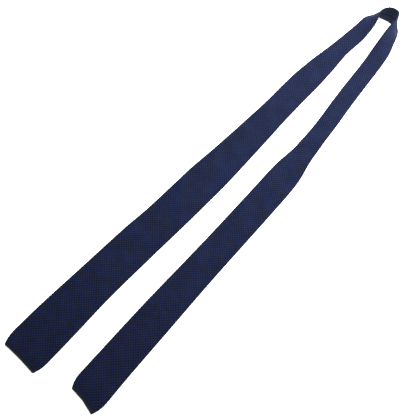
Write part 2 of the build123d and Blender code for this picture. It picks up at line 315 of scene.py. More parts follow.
# %% Sizes of the knit
CELL = 4.1  # one diamond of the knit, across and along
RELIEF = 0.42  # from the bottom of a pit to the top of a bump
GRID = 1.25  # spacing of the plain form's rows and columns, halved once by the subdivision
SEAM_HALF = 0.3  # the two folded edges of the cloth meet this close at centre back
SEAM_DEPTH = 0.6  # how far they turn in
EDGE_REACH = 1.7  # the tube's rounded edges reach this far in
EDGE_ROOM = 0.4  # share of the relief that the plain form leaves room for at the edges
MOST_REACH = 0.4  # a rounded edge takes no more than this share of a half width
RIM_REACH = 2.0  # the painted shade along each edge reaches this far in
HOLLOW = 0.3  # how much lower the middle of the face lies than its puffed edges
PUFF_REACH = 4.0  # the puffed stretch inside each rounded edge
SEAM_REACH = 1.6  # the back slopes into the seam over this length
DIP_SLOPE = 1.2  # and into a dip over this one
DIP_LEVEL = 0.8  # share of the relief that is pressed flat in a dip
FLAT_STEPS, ROUND_STEPS = 40, 24  # points of the outline along a flat half, and round an edge


def smooth_step(t):
    t = min(1.0, max(0.0, t))
    return t * t * (3 - 2 * t)


TUBE = {"thick": THICKNESS, "relief": RELIEF, "reach": EDGE_REACH, "hollow": HOLLOW, "seam": True}


def half_outline(width, form):
    """Points from the middle of the face round one edge to the middle of the back."""
    half, thick = width / 2 - form["relief"] * EDGE_ROOM, form["thick"] / 2 - form["relief"]
    reach = min(form["reach"], half * MOST_REACH)
    flat = half - reach
    line = []
    for i in range(FLAT_STEPS + 1):
        x = flat * i / FLAT_STEPS
        puff = smooth_step(1 - (half - x) / (reach + PUFF_REACH))
        line.append((x, thick - form["hollow"] * (1 - puff)))
    for i in range(1, ROUND_STEPS):
        turn = math.pi * i / ROUND_STEPS
        line.append((flat + reach * math.sin(turn), thick * math.cos(turn)))
    nearest = SEAM_HALF if form["seam"] else 0.0
    line += [(max(nearest, flat * i / FLAT_STEPS), -thick) for i in range(FLAT_STEPS, -1, -1)]
    points = np.array(line)
    return points, np.concatenate([[0], np.cumsum(np.hypot(*np.diff(points, axis=0).T))])


def back_shape(x, run, form):
    """How far the back of the tube turns in at a place, and the share of the relief left there."""
    turned, share = 0.0, 1.0
    if form["seam"]:
        seam = smooth_step(1 - (abs(x) - SEAM_HALF) / SEAM_REACH)
        turned, share = SEAM_DEPTH * seam, 1 - seam
    for low, high, reach, depth in form.get("dips", ()):
        sideways = smooth_step((reach - abs(x)) / DIP_SLOPE + 1)
        deep = sideways * smooth_step(min(run - low, high - run) / DIP_SLOPE + 1)
        turned, share = max(turned, depth * deep), share * (1 - DIP_LEVEL * deep)
    return turned, share


def ring(row, columns, form):
    """One ring of the tube: places in mm, and (round, along, relief share, painted edge shade and hem,
    back) for each.
    """
    points, marks = half_outline(row["width"], form)
    places, knit = [], []
    first = -columns if form["seam"] else 1 - columns
    for j in range(first, columns + 1):
        side = 1 if j >= 0 else -1
        around = marks[-1] * abs(j) / columns
        x = side * float(np.interp(around, marks, points[:, 0]))
        z = float(np.interp(around, marks, points[:, 1])) * row.get("thin", 1.0)
        share = 1.0
        if z < 0:
            turned, share = back_shape(x, row["run"], form)
            z += turned
        flat = row["middle"] + row["across"] * x + row["ahead"] * end_bend(row, x)
        places.append(flat + row["face"] * z)
        # Painted shade along each rolled edge; a welt's hem takes the larger of the two.
        rim = smooth_step((abs(x) - row["width"] / 2 + RIM_REACH) / RIM_REACH)
        shade = max(rim, row.get("hem", 0.0))
        knit.append((side * around, row["run"], share, shade, 1.0 if z < 0 else 0.0))
    return places, knit


def tube_mesh(name, rows, columns, form):
    """A closed tube through the rows, with a flat cap at each end whose rim stays sharp."""
    rings = [ring(row, columns, form) for row in rows]
    count = len(rings[0][0])
    verts = [p * MM for places, _ in rings for p in places]
    faces = []
    for i in range(len(rings) - 1):
        for j in range(count):
            a, b = i * count + j, i * count + (j + 1) % count
            faces.append((a, b, b + count, a + count))
    last = (len(rings) - 1) * count
    faces += [tuple(range(count - 1, -1, -1)), tuple(range(last, last + count))]
    mesh = bpy.data.meshes.new(name)
    mesh.from_pydata(verts, [], faces)
    values = [value for _, knit in rings for value in knit]
    knit = mesh.attributes.new("knit_mm", "FLOAT_VECTOR", "POINT")
    knit.data.foreach_set("vector", [v for value in values for v in value[:3]])
    for label, column in (("rim", 3), ("back", 4)):
        attribute = mesh.attributes.new(label, "FLOAT", "POINT")
        attribute.data.foreach_set("value", [value[column] for value in values])
    bm = bmesh.new()
    bm.from_mesh(mesh)
    bmesh.ops.recalc_face_normals(bm, faces=bm.faces)
    crease = bm.edges.layers.float.new("crease_edge")
    for edge in bm.edges:
        if any(len(face.verts) > 4 for face in edge.link_faces):
            edge[crease] = 1.0
            edge.smooth = False
    bm.to_mesh(mesh)
    bm.free()
    return mesh


def new_object(name, mesh):
    obj = bpy.data.objects.new(name, mesh)
    bpy.context.scene.collection.objects.link(obj)
    return obj


# %% Geometry Nodes helpers
def new_tree(name, **inputs):
    """A Geometry Nodes tree with a named input for each size. Gives the tree and its inputs."""
    tree = bpy.data.node_groups.new(name, "GeometryNodeTree")
    kinds = {float: "NodeSocketFloat", int: "NodeSocketInt", str: "NodeSocketMaterial"}
    tree.interface.new_socket("Geometry", in_out="INPUT", socket_type="NodeSocketGeometry")
    for label, value in inputs.items():
        socket = tree.interface.new_socket(label, in_out="INPUT", socket_type=kinds[type(value)])
        if not isinstance(value, str):
            socket.default_value = value
    tree.interface.new_socket("Geometry", in_out="OUTPUT", socket_type="NodeSocketGeometry")
    return tree, add_node(tree, "NodeGroupInput").outputs


def end_tree(tree, geometry, material):
    """Real geometry, smooth faces and the material, then the tree's output."""
    smooth = add_node(tree, "GeometryNodeSetShadeSmooth", {"Geometry": geometry})
    real = add_node(tree, "GeometryNodeRealizeInstances", {"Geometry": smooth.outputs[0]})
    done = add_node(tree, "GeometryNodeSetMaterial", {"Geometry": real.outputs[0], "Material": material})
    add_node(tree, "NodeGroupOutput", {"Geometry": done.outputs[0]})


def apply_tree(obj, tree, **values):
    """Runs the tree on the object with these inputs, and leaves a plain mesh."""
    modifier = obj.modifiers.new(tree.name, "NODES")
    modifier.node_group = tree
    for item in tree.interface.items_tree:
        if item.in_out == "INPUT" and item.name in values:
            modifier[item.identifier] = values[item.name]
    graph = bpy.context.evaluated_depsgraph_get()
    made = bpy.data.meshes.new_from_object(obj.evaluated_get(graph))
    obj.modifiers.clear()
    obj.data = made
    made.name = obj.name
    return obj


# %% The relief tree
def relief_tree(name, height_of, **inputs):
    """Smooths a plain form once, then lifts it by height_of(tree, round, along, inputs)."""
    tree, given = new_tree(name, Depth=RELIEF, **inputs, Material="")
    crease = add_node(tree, "GeometryNodeInputNamedAttribute", {"Name": "crease_edge"}, data_type="FLOAT")
    fine = add_node(
        tree,
        "GeometryNodeSubdivisionSurface",
        {"Mesh": given["Geometry"], "Level": 1, "Edge Crease": crease.outputs[0]},
    )
    place = add_node(tree, "GeometryNodeInputNamedAttribute", {"Name": "knit_mm"}, data_type="FLOAT_VECTOR")
    split = add_node(tree, "ShaderNodeSeparateXYZ", {"Vector": place.outputs[0]}).outputs
    height = calc(tree, "MULTIPLY", height_of(tree, split["X"], split["Y"], given), split["Z"])
    rise = calc(tree, "MULTIPLY", calc(tree, "MULTIPLY", height, given["Depth"]), MM)
    normal = add_node(tree, "GeometryNodeInputNormal").outputs[0]
    offset = add_node(tree, "ShaderNodeVectorMath", {0: normal, "Scale": rise}, operation="SCALE")
    lifted = add_node(
        tree,
        "GeometryNodeSetPosition",
        {"Geometry": fine.outputs[0], "Offset": offset.outputs[0]},
    )
    kept = add_node(
        tree,
        "GeometryNodeStoreNamedAttribute",
        {"Geometry": lifted.outputs[0], "Name": "relief", "Value": height},
        data_type="FLOAT",
        domain="POINT",
    )
    end_tree(tree, kept.outputs[0], given["Material"])
    return tree


def knit_height(tree, around, along, given):
    """Round bumps in a diamond grid, with narrow pits between them, each a little different."""
    grid = calc(tree, "MULTIPLY", wave(tree, around, given["Cell"]), wave(tree, along, given["Cell"]))
    pit = calc(tree, "MULTIPLY", calc(tree, "SUBTRACT", 1.0, grid), 0.5)
    bump = calc(tree, "SUBTRACT", 1.0, calc(tree, "POWER", pit, given["Pit narrowness"]))
    place = add_node(tree, "ShaderNodeCombineXYZ", {"X": around, "Y": along, "Z": given["Seed"]})
    noise = add_node(tree, "ShaderNodeTexNoise", {"Vector": place.outputs[0], "Scale": 0.22})
    uneven = calc(tree, "MULTIPLY", calc(tree, "SUBTRACT", noise.outputs[0], 0.5), given["Unevenness"])
    return calc(tree, "ADD", calc(tree, "MULTIPLY", bump, 0.9), uneven)


def rib_height(tree, around, along, given):
    """Fine ribs that run along the leg."""
    return calc(tree, "MULTIPLY", calc(tree, "ADD", wave(tree, around, given["Rib"]), 1.0), 0.5)


knit_inputs = {"Cell": CELL, "Pit narrowness": 1.25, "Unevenness": 0.3, "Seed": 3.0}
knit_relief = relief_tree("knit relief", knit_height, **knit_inputs)
rib_relief = relief_tree("rib relief", rib_height, Rib=1.9)
print("trees:", [tree.name for tree in bpy.data.node_groups])


# %% [markdown]
# ## Navy silk knit
# Dull silk yarn takes light softly: it has no sharp gloss, but it glows a little where the eye meets
# it at a low angle. In the shader that is a rough surface with a constant blue-grey sheen. The pits
# are darker than the tops because light is lost between the yarns, and the dye varies a little from
# place to place. The yarn's own loops are too fine to be worth real geometry, so they are bump.

# %% Cloth materials
def new_material(name, **shader):
    """A material whose shader has these constant values. Gives the material, its tree and shader."""
    material = bpy.data.materials.new(name)
    material.use_nodes = True
    tree = material.node_tree
    principled = next(node for node in tree.nodes if node.type == "BSDF_PRINCIPLED")
    for socket, value in shader.items():
        principled.inputs[socket.replace("_", " ")].default_value = value
    return material, tree, principled


def blend_colours(tree, share, low, high):
    """From the low colour to the high one, as share goes from 0 to 1."""
    start = linear(low) if isinstance(low, str) else low
    colours = {6: start, 7: linear(high)}  # sockets A and B of a colour mix
    mix = add_node(tree, "ShaderNodeMix", {"Factor": share, **colours}, data_type="RGBA")
    return mix.outputs[2]


def cloth_place(tree):
    """Where a point is on the cloth, in millimetres: round, and along."""
    place = add_node(tree, "ShaderNodeAttribute", attribute_name="knit_mm")
    split = add_node(tree, "ShaderNodeSeparateXYZ", {"Vector": place.outputs["Vector"]})
    return place.outputs["Vector"], split.outputs["X"], split.outputs["Y"]


def add_bump(tree, principled, height, depth):
    bump = add_node(tree, "ShaderNodeBump", {"Height": height, "Strength": 0.6, "Distance": depth * MM})
    tree.links.new(bump.outputs[0], principled.inputs["Normal"])


STITCH = CELL / 3  # one column of yarn loops
# The back's colour is painted shade with a painted grey reflection; both faces are the same yarn.
NAVY_TOP, NAVY_PIT, NAVY_WORN, NAVY_BACK_SHADE = "19244a", "010205", "202a4f", "181d26"
EDGE_SHADE_GREY = "0e1011"  # painted shade: the dark line along both rolled edges


def yarn_loops(tree, around, along):
    """The little V of each knitted loop: rows that fall away on both sides of a column's middle."""
    across = calc(tree, "PINGPONG", calc(tree, "DIVIDE", around, STITCH), 0.5)
    down = calc(tree, "ADD", calc(tree, "DIVIDE", along, STITCH), calc(tree, "MULTIPLY", across, 1.4))
    return calc(tree, "COSINE", calc(tree, "MULTIPLY", down, 2 * math.pi))


silk, tree, principled = new_material(
    "navy silk knit",
    Roughness=0.82,
    Specular_IOR_Level=0.1,
    Sheen_Weight=0.14,
    Sheen_Roughness=0.5,
    Sheen_Tint=linear("8c9adc"),
)
place, around, along = cloth_place(tree)
relief = add_node(tree, "ShaderNodeAttribute", attribute_name="relief").outputs["Fac"]
patches = add_node(tree, "ShaderNodeTexNoise", {"Vector": place, "Scale": 0.045, "Detail": 4.0}).outputs[0]
flecks = add_node(tree, "ShaderNodeTexNoise", {"Vector": place, "Scale": 0.9, "Detail": 2.0}).outputs[0]
lit = blend_colours(tree, calc(tree, "POWER", relief, 2.0), NAVY_PIT, NAVY_TOP)
faded = calc(tree, "MULTIPLY", calc(tree, "SUBTRACT", patches, 0.4), 0.5)
lit = blend_colours(tree, faded, lit, NAVY_WORN)
flecked = calc(tree, "MULTIPLY", calc(tree, "SUBTRACT", flecks, 0.5), 0.6)
lit = blend_colours(tree, flecked, lit, NAVY_WORN)
# Painted shade and a painted grey reflection: the back is tinted greyer.
back = add_node(tree, "ShaderNodeAttribute", attribute_name="back").outputs["Fac"]
lit = blend_colours(tree, calc(tree, "MULTIPLY", back, 0.6), lit, NAVY_BACK_SHADE)
# Painted shade: the knit darkens to a grey line along both rolled edges.
rim = add_node(tree, "ShaderNodeAttribute", attribute_name="rim").outputs["Fac"]
lit = blend_colours(tree, calc(tree, "MULTIPLY", rim, 0.9), lit, EDGE_SHADE_GREY)
tree.links.new(lit, principled.inputs["Base Color"])
add_bump(tree, principled, yarn_loops(tree, around, along), 0.09)

# The welts' yarn is knitted tighter and has almost no sheen, so they look flat, with a grey hem.
rib_silk, tree, principled = new_material(
    "dark navy rib knit", Roughness=0.9, Specular_IOR_Level=0.1, Sheen_Weight=0.03, Sheen_Roughness=0.5
)
place, around, along = cloth_place(tree)
relief = add_node(tree, "ShaderNodeAttribute", attribute_name="relief").outputs["Fac"]
flecks = add_node(tree, "ShaderNodeTexNoise", {"Vector": place, "Scale": 0.7, "Detail": 2.0}).outputs[0]
# Painted shade: the hollows between the ribs are darker than their tops.
lit = blend_colours(tree, relief, "04060d", "171c33")
lit = blend_colours(tree, calc(tree, "MULTIPLY", calc(tree, "SUBTRACT", flecks, 0.4), 0.8), lit, "1c213a")
# Painted shade: a grey line along the welt's rolled sides; the same mix gives the grey hem at its end.
rim = add_node(tree, "ShaderNodeAttribute", attribute_name="rim").outputs["Fac"]
lit = blend_colours(tree, rim, lit, "212426")
tree.links.new(lit, principled.inputs["Base Color"])
add_bump(tree, principled, yarn_loops(tree, around, along), 0.08)
print("cloth materials:", silk.name, "and", rib_silk.name)


# %% [markdown]
# ## The tube, cut where nothing bends
# The tie folds at four lines and swings at two, so cloth has to cross every one of those hinges. The
# tube is cut in the stiff lengths between them instead, so each piece holds one hinge; it is left unbent
# where it is made.
# The cuts fall on rows where the relief is level, and both sides share that row, so no join shows.
# Each leg has one more cut in its tip, which keeps every mesh small. The length below it just rides.

# %% Cut the tube, and fix each piece in place
def level_row(run):
    """The nearest run at which the knit's relief is level along the tie."""
    return round(run / (CELL / 2)) * CELL / 2


FOLD_REACH, SWING_REACH = 25.0, 22.0  # the cloth turns over this length past a hinge
FRONT_TIP_CUT, TAIL_TIP_CUT = 150.0, 100.0  # the one more cut, from the square end
HINGE_RUN = {
    "front_middle_fold": FRONT_TIP_LENGTH,
    "front_neck_fold": NECK_START,
    "front_swing": FRONT_SWING,
    "tail_swing": TAIL_SWING,
    "tail_neck_fold": NECK_END,
    "tail_middle_fold": TOTAL - TAIL_TIP_LENGTH,
}
hinge_runs = list(HINGE_RUN.values())
cuts = [WELT_LENGTH, level_row(FRONT_TIP_CUT)]
cuts += [level_row((a + b) / 2) for a, b in zip(hinge_runs, hinge_runs[1:])]
cuts += [level_row(TOTAL - TAIL_TIP_CUT), TOTAL - WELT_LENGTH]
PIECES = {
    "front_tip_knit": (cuts[0], cuts[1], "front_tip", None),
    "front_fold_knit": (cuts[1], cuts[2], "front_tip", "front_middle_fold"),
    "front_blade_knit": (cuts[2], cuts[3], "front_blade", "front_neck_fold"),
    "front_neck_knit": (cuts[3], cuts[4], "front_neck", "front_swing"),
    "tail_neck_knit": (cuts[4], cuts[5], "loop", "tail_swing"),
    "tail_blade_knit": (cuts[5], cuts[6], "tail_neck", "tail_neck_fold"),
    "tail_fold_knit": (cuts[6], cuts[7], "tail_blade", "tail_middle_fold"),
    "tail_tip_knit": (cuts[7], cuts[8], "tail_tip", None),
}
CASINGS = {
    "front_tip_knit": ["front_tip_casing"],
    "front_blade_knit": ["front_blade_casing"],
    "front_neck_knit": ["front_neck_casing", "loop_casing"],
    "tail_blade_knit": ["tail_neck_casing"],
    "tail_fold_knit": ["tail_blade_casing"],
    "tail_tip_knit": ["tail_tip_casing"],
}


def bend_at(obj, body, joint):
    """Rides the piece on its body when there is no joint. At a joint it fixes the piece in place, unbent.
    """
    if joint is None:
        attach(obj, body)
        return
    at = row_at(HINGE_RUN[joint])
    if "fold" in joint:
        start = Vector((at["middle"].x, at["middle"].y, 0))
        reach = Vector((0, -FOLD_REACH, 0))  # the folded leg lies towards its square end
    else:
        side = 1 if joint == "tail_swing" else -1
        start = hinges[joint].copy()
        reach = row_at(HINGE_RUN[joint] + side * SWING_REACH)["middle"] - at["middle"]
    start.z = reach.z = 0.0
    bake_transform(obj)


print("cuts along the run, mm:", [round(cut, 2) for cut in cuts])


# %% Make the six lengths that hold a hinge and the two that ride
def patch_dip(leg, height, span, band, depth):
    """Where the cloth's back rises to make room for something sewn flat under it."""
    runs = (height - band / 2, height + band / 2)
    if leg is TAIL:
        runs = (TOTAL - runs[1], TOTAL - runs[0])
    return (*runs, span / 2, depth)


KEEPER_HEIGHT, KEEPER_SPAN, KEEPER_BAND, KEEPER_DIP = 225.0, 44.0, 11.0, 0.75
LABEL_HEIGHT, LABEL_SPAN, LABEL_BAND = 190.0, 34.0, 14.0
CARE_HEIGHT, CARE_SPAN, CARE_BAND = 110.0, 15.0, 20.0
TAG_DIP = 0.3
DIPS = [
    patch_dip(FRONT, KEEPER_HEIGHT, KEEPER_SPAN, KEEPER_BAND, KEEPER_DIP),
    patch_dip(FRONT, LABEL_HEIGHT, LABEL_SPAN, LABEL_BAND, TAG_DIP),
    patch_dip(TAIL, CARE_HEIGHT, CARE_SPAN, CARE_BAND, TAG_DIP),
]
COLUMN_SPARE = 4.0  # the outline round one half is longer than the width by about this much

for name, (start, finish, body, joint) in PIECES.items():
    rows = rows_over(start, finish, GRID)
    widest = max(row["width"] for row in rows)
    form = {**TUBE, "dips": DIPS}
    obj = new_object(name, tube_mesh(name, rows, round((widest + COLUMN_SPARE) / GRID), form))
    apply_tree(obj, knit_relief, Material=silk)
    bend_at(obj, body, joint)
    if CASINGS.get(name):
        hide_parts(*CASINGS[name])


# %% [markdown]
# ## The ribbed welts
# Each square end is closed by a band of fine rib, drawn in a little, with a dark cast-off edge. It is
# the same tube with another relief, and its last rows get thinner and narrower so the end is round.

# %% Welts
WELT = {"thick": THICKNESS - 0.3, "relief": 0.22, "reach": 2.0, "hollow": 0.0, "seam": False}
WELT_ROUND = 1.5  # how far from the end the welt starts to round off
WELT_THIN = 0.35  # share of its thickness left at the very end
WELT_DRAWN_IN, WELT_CORNER = 0.6, 1.6  # how much narrower it is all along, and again at the end
HEM_END, HEM_FADE = 2.24, 1.4  # the dark hem ends this far from the end, and fades over this length
WELT_GRID = 0.8  # spacing of its columns, fine enough for the ribs
WELT_ROWS = [0.0, 0.2, 0.5, 0.9, 1.5, 2.3, 3.1, 3.9, 4.7, 5.4, WELT_LENGTH]  # closer where it rounds


def welt_row(run, away):
    """A row of a welt, away from its square end by so much."""
    row = row_at(run)
    turn = math.sqrt(max(0.0, 1 - (1 - min(1.0, away / WELT_ROUND)) ** 2))
    row["thin"] = WELT_THIN + (1 - WELT_THIN) * turn
    row["hem"] = smooth_step((HEM_END - away) / HEM_FADE)
    row["width"] -= WELT_DRAWN_IN + WELT_CORNER * (1 - turn)
    return row


WELTS = (("front_end_welt_knit", "front_tip", 0.0), ("tail_end_welt_knit", "tail_tip", TOTAL))
for name, body, at_end in WELTS:
    rows = [welt_row(abs(at_end - away), away) for away in WELT_ROWS]
    obj = new_object(name, tube_mesh(name, rows, round(rows[-1]["width"] / WELT_GRID), WELT))
    apply_tree(obj, rib_relief, Depth=WELT["relief"], Material=rib_silk)
    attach(obj, body)
    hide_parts(name.replace("_knit", ""))
    print(f"{name}: {len(obj.data.polygons)} faces")


# %% [markdown]
# ## Threads
# Every stitch on the tie is a short bowed piece of thread, whether it closes the back seam, finishes
# an end or holds a tag. One Geometry Nodes tree makes such a stitch and puts it on a list of points.
# Each point says which way its stitch lies and which way is out of the cloth, and a fixed seed turns
# each one a little, as hand sewing does.

# %% The stitch tree
stitch_tree, given = new_tree("stitches", Length=2.4, Thickness=0.55, Bow=0.2, Wander=0.12, Material="")
metres = {k: calc(stitch_tree, "MULTIPLY", given[k], MM) for k in ("Length", "Thickness", "Bow")}
half = calc(stitch_tree, "MULTIPLY", metres["Length"], 0.5)
left = add_node(stitch_tree, "ShaderNodeCombineXYZ", {"X": calc(stitch_tree, "MULTIPLY", half, -1.0)})
middle = add_node(stitch_tree, "ShaderNodeCombineXYZ", {"Z": metres["Bow"]})
right = add_node(stitch_tree, "ShaderNodeCombineXYZ", {"X": half})
line = add_node(
    stitch_tree,
    "GeometryNodeCurveQuadraticBezier",
    {"Resolution": 5, "Start": left.outputs[0], "Middle": middle.outputs[0], "End": right.outputs[0]},
)
radius = calc(stitch_tree, "MULTIPLY", metres["Thickness"], 0.5)
outline = add_node(stitch_tree, "GeometryNodeCurvePrimitiveCircle", {"Resolution": 6, "Radius": radius})
thread = add_node(
    stitch_tree,
    "GeometryNodeCurveToMesh",
    {"Curve": line.outputs[0], "Profile Curve": outline.outputs[0], "Fill Caps": True},
)
vectors = {
    name: add_node(stitch_tree, "GeometryNodeInputNamedAttribute", {"Name": name}, data_type="FLOAT_VECTOR")
    for name in ("lies", "out")
}
turned = add_node(
    stitch_tree, "FunctionNodeAlignRotationToVector", {"Vector": vectors["lies"].outputs[0]}, axis="X"
)
turned = add_node(
    stitch_tree,
    "FunctionNodeAlignRotationToVector",
    {"Rotation": turned.outputs[0], "Vector": vectors["out"].outputs[0]},
    axis="Z",
    pivot_axis="X",
)
placed = add_node(
    stitch_tree,
    "GeometryNodeInstanceOnPoints",
    {"Points": given["Geometry"], "Instance": thread.outputs[0], "Rotation": turned.outputs[0]},
)
least = calc(stitch_tree, "MULTIPLY", given["Wander"], -1.0)
chance = add_node(stitch_tree, "FunctionNodeRandomValue", {2: least, 3: given["Wander"], "Seed": 7})
swing = add_node(stitch_tree, "ShaderNodeCombineXYZ", {"Z": chance.outputs[1]})
swung = add_node(
    stitch_tree,
    "GeometryNodeRotateInstances",
    {"Instances": placed.outputs[0], "Rotation": swing.outputs[0]},
)
end_tree(stitch_tree, swung.outputs[0], given["Material"])


# %% Thread material and stitch rows
# Silk sewing thread is twisted, which shows as fine slanting lines of a lighter navy.
sewing, tree, principled = new_material("navy sewing thread", Roughness=0.8, Specular_IOR_Level=0.2)
place = add_node(tree, "ShaderNodeTexCoord").outputs["Object"]
twist = add_node(tree, "ShaderNodeTexWave", {"Vector": place, "Scale": 900.0}, bands_direction="DIAGONAL")
lit = blend_colours(tree, twist.outputs["Fac"], "070914", "12162c")
tree.links.new(lit, principled.inputs["Base Color"])
add_bump(tree, principled, twist.outputs["Fac"], 0.05)


def stitch_row(name, points, slot="thread", material=sewing, **sizes):
    """A piece made of one stitch at each point: (place in mm, way it lies, way out of the cloth)."""
    mesh = bpy.data.meshes.new(name)
    mesh.from_pydata([place * MM for place, _, _ in points], [], [])
    for label, column in (("lies", 1), ("out", 2)):
        attribute = mesh.attributes.new(label, "FLOAT_VECTOR", "POINT")
        attribute.data.foreach_set("vector", [v for point in points for v in point[column]])
    obj = apply_tree(new_object(name, mesh), stitch_tree, Material=material, **sizes)
    return obj


SEAM_PITCH = 5.0  # from one slip stitch to the next
SEAM_INSET = 1.0  # each length's first and last stitch lie this far inside it
SEAM_SUNK = 0.45  # the thread's middle lies this deep in the cloth
SEAM_THREADS = {
    "front_tip_knit": ["front_tip_seam_thread"],
    "front_blade_knit": ["front_blade_seam_thread"],
    "front_neck_knit": ["front_neck_seam_thread", "loop_seam_thread"],
    "tail_blade_knit": ["tail_neck_seam_thread"],
    "tail_fold_knit": ["tail_blade_seam_thread"],
    "tail_tip_knit": ["tail_tip_seam_thread"],
}
for name, (start, finish, body, joint) in PIECES.items():
    sewn = finish - start - 2 * SEAM_INSET
    count = int(sewn / SEAM_PITCH)
    points = []
    for i in range(count + 1):
        row = row_at(start + SEAM_INSET + sewn * i / count)
        if any(low < row["run"] < high for low, high, _, _ in DIPS):
            continue  # a label or the keeper lies over the seam here
        lies = (row["ahead"] + row["across"] * 0.8).normalized()
        points.append((row["middle"] - row["face"] * (THICKNESS / 2 - SEAM_SUNK), lies, -row["face"]))
    obj = stitch_row(name.replace("knit", "seam_stitches"), points, Bow=0.15)
    bend_at(obj, body, joint)
    if name in SEAM_THREADS:
        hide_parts(*SEAM_THREADS[name])

END_PITCH = 3.2  # from one stitch of a square end to the next
END_INSET = 3.0  # the row stops this far short of the edges
END_PROUD = 0.25  # and stands this far out of the end
ENDS = (("front_end_stitches", "front_tip", 0.0, -1), ("tail_end_stitches", "tail_tip", TOTAL, 1))
for name, body, run, way in ENDS:
    row = row_at(run)
    half = row["width"] / 2 - END_INSET
    count = int(2 * half / END_PITCH)
    points = []
    for i in range(count + 1):
        x = -half + 2 * half * i / count
        place = row["middle"] + row["across"] * x + row["ahead"] * (end_bend(row, x) + way * END_PROUD)
        points.append((place, row["across"], row["ahead"] * way))
    obj = stitch_row(f"{name}_thread", points, Length=2.9, Bow=0.35, Thickness=0.5)
    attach(obj, body)
    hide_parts(name)


# %% [markdown]
# ## On the back: keeper, label and care tag
# A narrow ribbed keeper is tacked across the front leg's back, to hold the tail when the tie is worn.
# Below it is a small woven label, and the tail has a care tag. Both are blank here. They lie in
# shallow dips of the cloth, so the tie still rests flat.

# %% Keeper
def cross_row(leg, height, t, up):
    """A row of a strip laid across the back of a leg, t from the leg's middle."""
    middle = leg_row(leg, height)["middle"] + Vector((t, 0, 0))
    middle.z = up
    across, ahead, face = Vector((0, 1, 0)), Vector((1, 0, 0)), Vector((0, 0, -1))
    row = {"run": t, "middle": middle, "across": across, "ahead": ahead, "face": face}
    return {**row, "arch": 0.0, "slant": 0.0}


KEEPER = {"thick": 0.56, "relief": 0.1, "reach": 0.6, "hollow": 0.0, "seam": False}
KEEPER_ROWS, KEEPER_COLUMNS = 44, 12
KEEPER_TRIM = 0.4  # it is this much shorter than its dip
KEEPER_SEWN_UP = 0.51  # height of its sewn ends off the table
KEEPER_SAG, KEEPER_DRAWN_IN = 0.2, 0.6  # how its free middle hangs lower, and is narrower
KEEPER_SEWN_REACH = 9.0  # from each end to where it is quite free
rows = []
for i in range(KEEPER_ROWS + 1):
    t = (i / KEEPER_ROWS - 0.5) * (KEEPER_SPAN - KEEPER_TRIM)
    free = smooth_step((KEEPER_SPAN / 2 - abs(t)) / KEEPER_SEWN_REACH)
    row = cross_row(FRONT, KEEPER_HEIGHT, t, KEEPER_SEWN_UP - KEEPER_SAG * free)
    rows.append({**row, "width": KEEPER_BAND - KEEPER_DRAWN_IN * free})
obj = new_object("keeper_rib", tube_mesh("keeper_rib", rows, KEEPER_COLUMNS, KEEPER))
apply_tree(obj, rib_relief, Depth=KEEPER["relief"], Rib=1.6, Material=silk)
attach(obj, "front_tip")
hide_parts("keeper_loop")

TACK_INSET, TACK_UP = 2.0, 0.26  # where each bar tack lies, from the keeper's end and off the table
TACK_STITCHES, TACK_WIDTH = 13, 8.6
points = []
for side in (-1, 1):
    for i in range(TACK_STITCHES):
        place = cross_row(FRONT, KEEPER_HEIGHT, side * (KEEPER_SPAN / 2 - TACK_INSET), TACK_UP)["middle"]
        place += Vector((0, (i / (TACK_STITCHES - 1) - 0.5) * TACK_WIDTH, 0))
        points.append((place, Vector((1, 0.12, 0)), Vector((0, 0, -1))))
obj = stitch_row("keeper_tack_threads", points, Length=1.8, Thickness=0.42, Bow=0.1, Wander=0.05)
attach(obj, "front_tip")
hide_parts("keeper_bar_tacks")


# %% Woven tags
WEAVE = 0.5  # from one thread of the satin to the next
TAG_GRID = 0.5  # spacing of a tag's grid
TAG_TRIM = 0.2  # it is this much smaller than its dip
TAG_UP, TAG_BOW, TAG_THICKNESS = 0.3, 0.04, 0.22
BORDER_FROM, BORDER_TO = 0.9, 1.6  # the woven line lies this far in from the edge
CORNER_INSET, CORNER_UP = 2.4, 0.16  # where the corner stitches lie
CORNER_PAIR = (-0.2, 0.2)  # two stitches side by side


def woven_material(name, ground, border):
    """Damask satin: a fine close weave, with a plain woven line round the edge."""
    material, tree, principled = new_material(name, Roughness=0.45, Sheen_Weight=0.2, Sheen_Roughness=0.3)
    place, around, along = cloth_place(tree)
    weave = calc(tree, "MULTIPLY", wave(tree, around, WEAVE), wave(tree, along, WEAVE))
    edge = add_node(tree, "ShaderNodeAttribute", attribute_name="border").outputs["Fac"]
    lit = blend_colours(tree, calc(tree, "GREATER_THAN", edge, 0.5), ground, border)
    lit = blend_colours(tree, calc(tree, "MULTIPLY", weave, 0.12), lit, border)
    tree.links.new(lit, principled.inputs["Base Color"])
    add_bump(tree, principled, weave, 0.05)
    return material


def tag_mesh(name, leg, height, span, band):
    """A thin woven rectangle, its surface a grid that bows a little."""
    centre = leg_row(leg, height)["middle"]
    mesh = bpy.data.meshes.new(name)
    bm = bmesh.new()
    across, up = round(span / TAG_GRID), round(band / TAG_GRID)
    bmesh.ops.create_grid(bm, x_segments=across, y_segments=up, size=0.5)
    place = bm.verts.layers.float_vector.new("knit_mm")
    border = bm.verts.layers.float.new("border")
    for vert in bm.verts:
        x, y = vert.co.x * span, vert.co.y * band
        inside = min(span / 2 - abs(x), band / 2 - abs(y))
        vert[place] = (x, y, 1.0)
        vert[border] = 1.0 if BORDER_FROM < inside < BORDER_TO else 0.0
        vert.co = (centre + Vector((x, y, 0))) * MM
        vert.co.z = (TAG_UP + TAG_BOW * math.sin(x * 0.7) * math.cos(y * 0.6)) * MM
    bm.to_mesh(mesh)
    bm.free()
    return mesh


